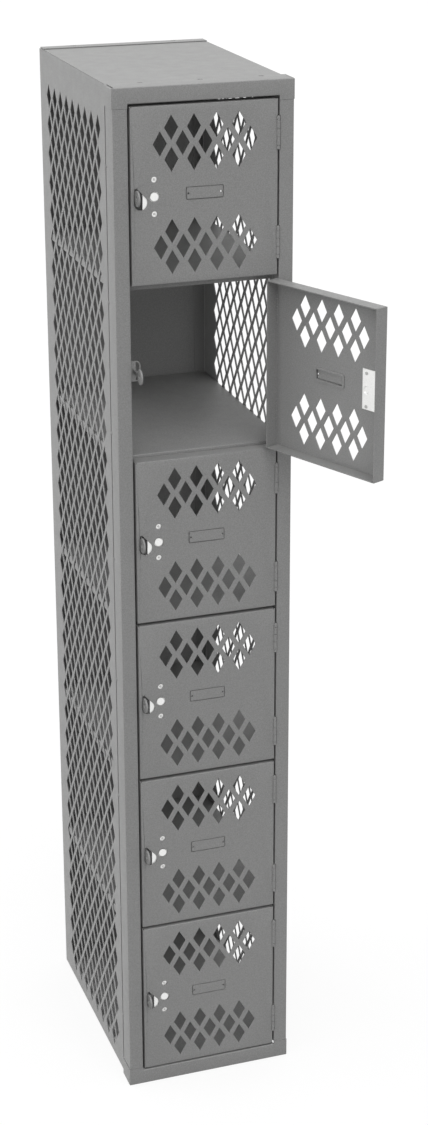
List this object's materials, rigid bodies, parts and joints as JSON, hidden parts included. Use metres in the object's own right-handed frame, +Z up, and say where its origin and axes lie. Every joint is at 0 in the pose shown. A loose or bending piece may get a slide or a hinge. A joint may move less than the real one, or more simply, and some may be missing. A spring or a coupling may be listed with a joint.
{
  "type": "box locker",
  "caption": "Tall steel locker with perforated sides and a column of square hinged doors, each with diamond vents, a lock plate and a padlock staple.",
  "frame": {"origin": "on the floor, under the middle of the front rail's foot, which is the middle of the locker's width, 21 mm behind its front face", "axes": "+X to the right seen from the front, +Y from the front to the back, +Z up"},
  "size_m": [0.3796, 0.6953, 1.8288],
  "materials": {
    "painted_steel": "medium grey satin powder coat with a fine speckle",
    "zinc_plate": null,
    "bright_steel": "bare steel pins"
  },
  "bodies": {
    "cabinet": {"left_side": "painted_steel", "right_side": "painted_steel", "back_panel": "painted_steel", "top_panel": "painted_steel", "bottom_panel": "painted_steel", "shelf_1": "painted_steel", "shelf_2": "painted_steel", "shelf_3": "painted_steel", "shelf_4": "painted_steel", "shelf_5": "painted_steel", "stile_left": "painted_steel", "stile_right": "painted_steel", "stile_flange_left": "painted_steel", "stile_flange_right": "painted_steel", "header_rail": "painted_steel", "base_rail": "painted_steel", "staple_1": "painted_steel", "hinge_upper_1": "painted_steel", "hinge_pin_upper_1": "bright_steel", "hinge_lower_1": "painted_steel", "hinge_pin_lower_1": "bright_steel", "staple_2": "painted_steel", "hinge_upper_2": "painted_steel", "hinge_pin_upper_2": "bright_steel", "hinge_lower_2": "painted_steel", "hinge_pin_lower_2": "bright_steel", "staple_3": "painted_steel", "hinge_upper_3": "painted_steel", "hinge_pin_upper_3": "bright_steel", "hinge_lower_3": "painted_steel", "hinge_pin_lower_3": "bright_steel", "staple_4": "painted_steel", "hinge_upper_4": "painted_steel", "hinge_pin_upper_4": "bright_steel", "hinge_lower_4": "painted_steel", "hinge_pin_lower_4": "bright_steel", "staple_5": "painted_steel", "hinge_upper_5": "painted_steel", "hinge_pin_upper_5": "bright_steel", "hinge_lower_5": "painted_steel", "hinge_pin_lower_5": "bright_steel", "staple_6": "painted_steel", "hinge_upper_6": "painted_steel", "hinge_pin_upper_6": "bright_steel", "hinge_lower_6": "painted_steel", "hinge_pin_lower_6": "bright_steel"},
    "door_1": {"door_1": "painted_steel", "lock_plate_1": "zinc_plate"},
    "door_2": {"door_2": "painted_steel", "lock_plate_2": "zinc_plate"},
    "door_3": {"door_3": "painted_steel", "lock_plate_3": "zinc_plate"},
    "door_4": {"door_4": "painted_steel", "lock_plate_4": "zinc_plate"},
    "door_5": {"door_5": "painted_steel", "lock_plate_5": "zinc_plate"},
    "door_6": {"door_6": "painted_steel", "lock_plate_6": "zinc_plate"}
  },
  "joints": [
    {"name": "door_1_hinge", "type": "hinge", "parent": "cabinet", "child": "door_1", "pos_m": [0.1255, -0.021, 1.65257], "axis": [0, 0, 1], "range_deg": [0, 170]},
    {"name": "door_2_hinge", "type": "hinge", "parent": "cabinet", "child": "door_2", "pos_m": [0.1255, -0.021, 1.3573], "axis": [0, 0, 1], "range_deg": [-114, 56]},
    {"name": "door_3_hinge", "type": "hinge", "parent": "cabinet", "child": "door_3", "pos_m": [0.1255, -0.021, 1.06203], "axis": [0, 0, 1], "range_deg": [0, 170]},
    {"name": "door_4_hinge", "type": "hinge", "parent": "cabinet", "child": "door_4", "pos_m": [0.1255, -0.021, 0.76677], "axis": [0, 0, 1], "range_deg": [0, 170]},
    {"name": "door_5_hinge", "type": "hinge", "parent": "cabinet", "child": "door_5", "pos_m": [0.1255, -0.021, 0.4715], "axis": [0, 0, 1], "range_deg": [0, 170]},
    {"name": "door_6_hinge", "type": "hinge", "parent": "cabinet", "child": "door_6", "pos_m": [0.1255, -0.021, 0.17623], "axis": [0, 0, 1], "range_deg": [0, 170]}
  ]
}
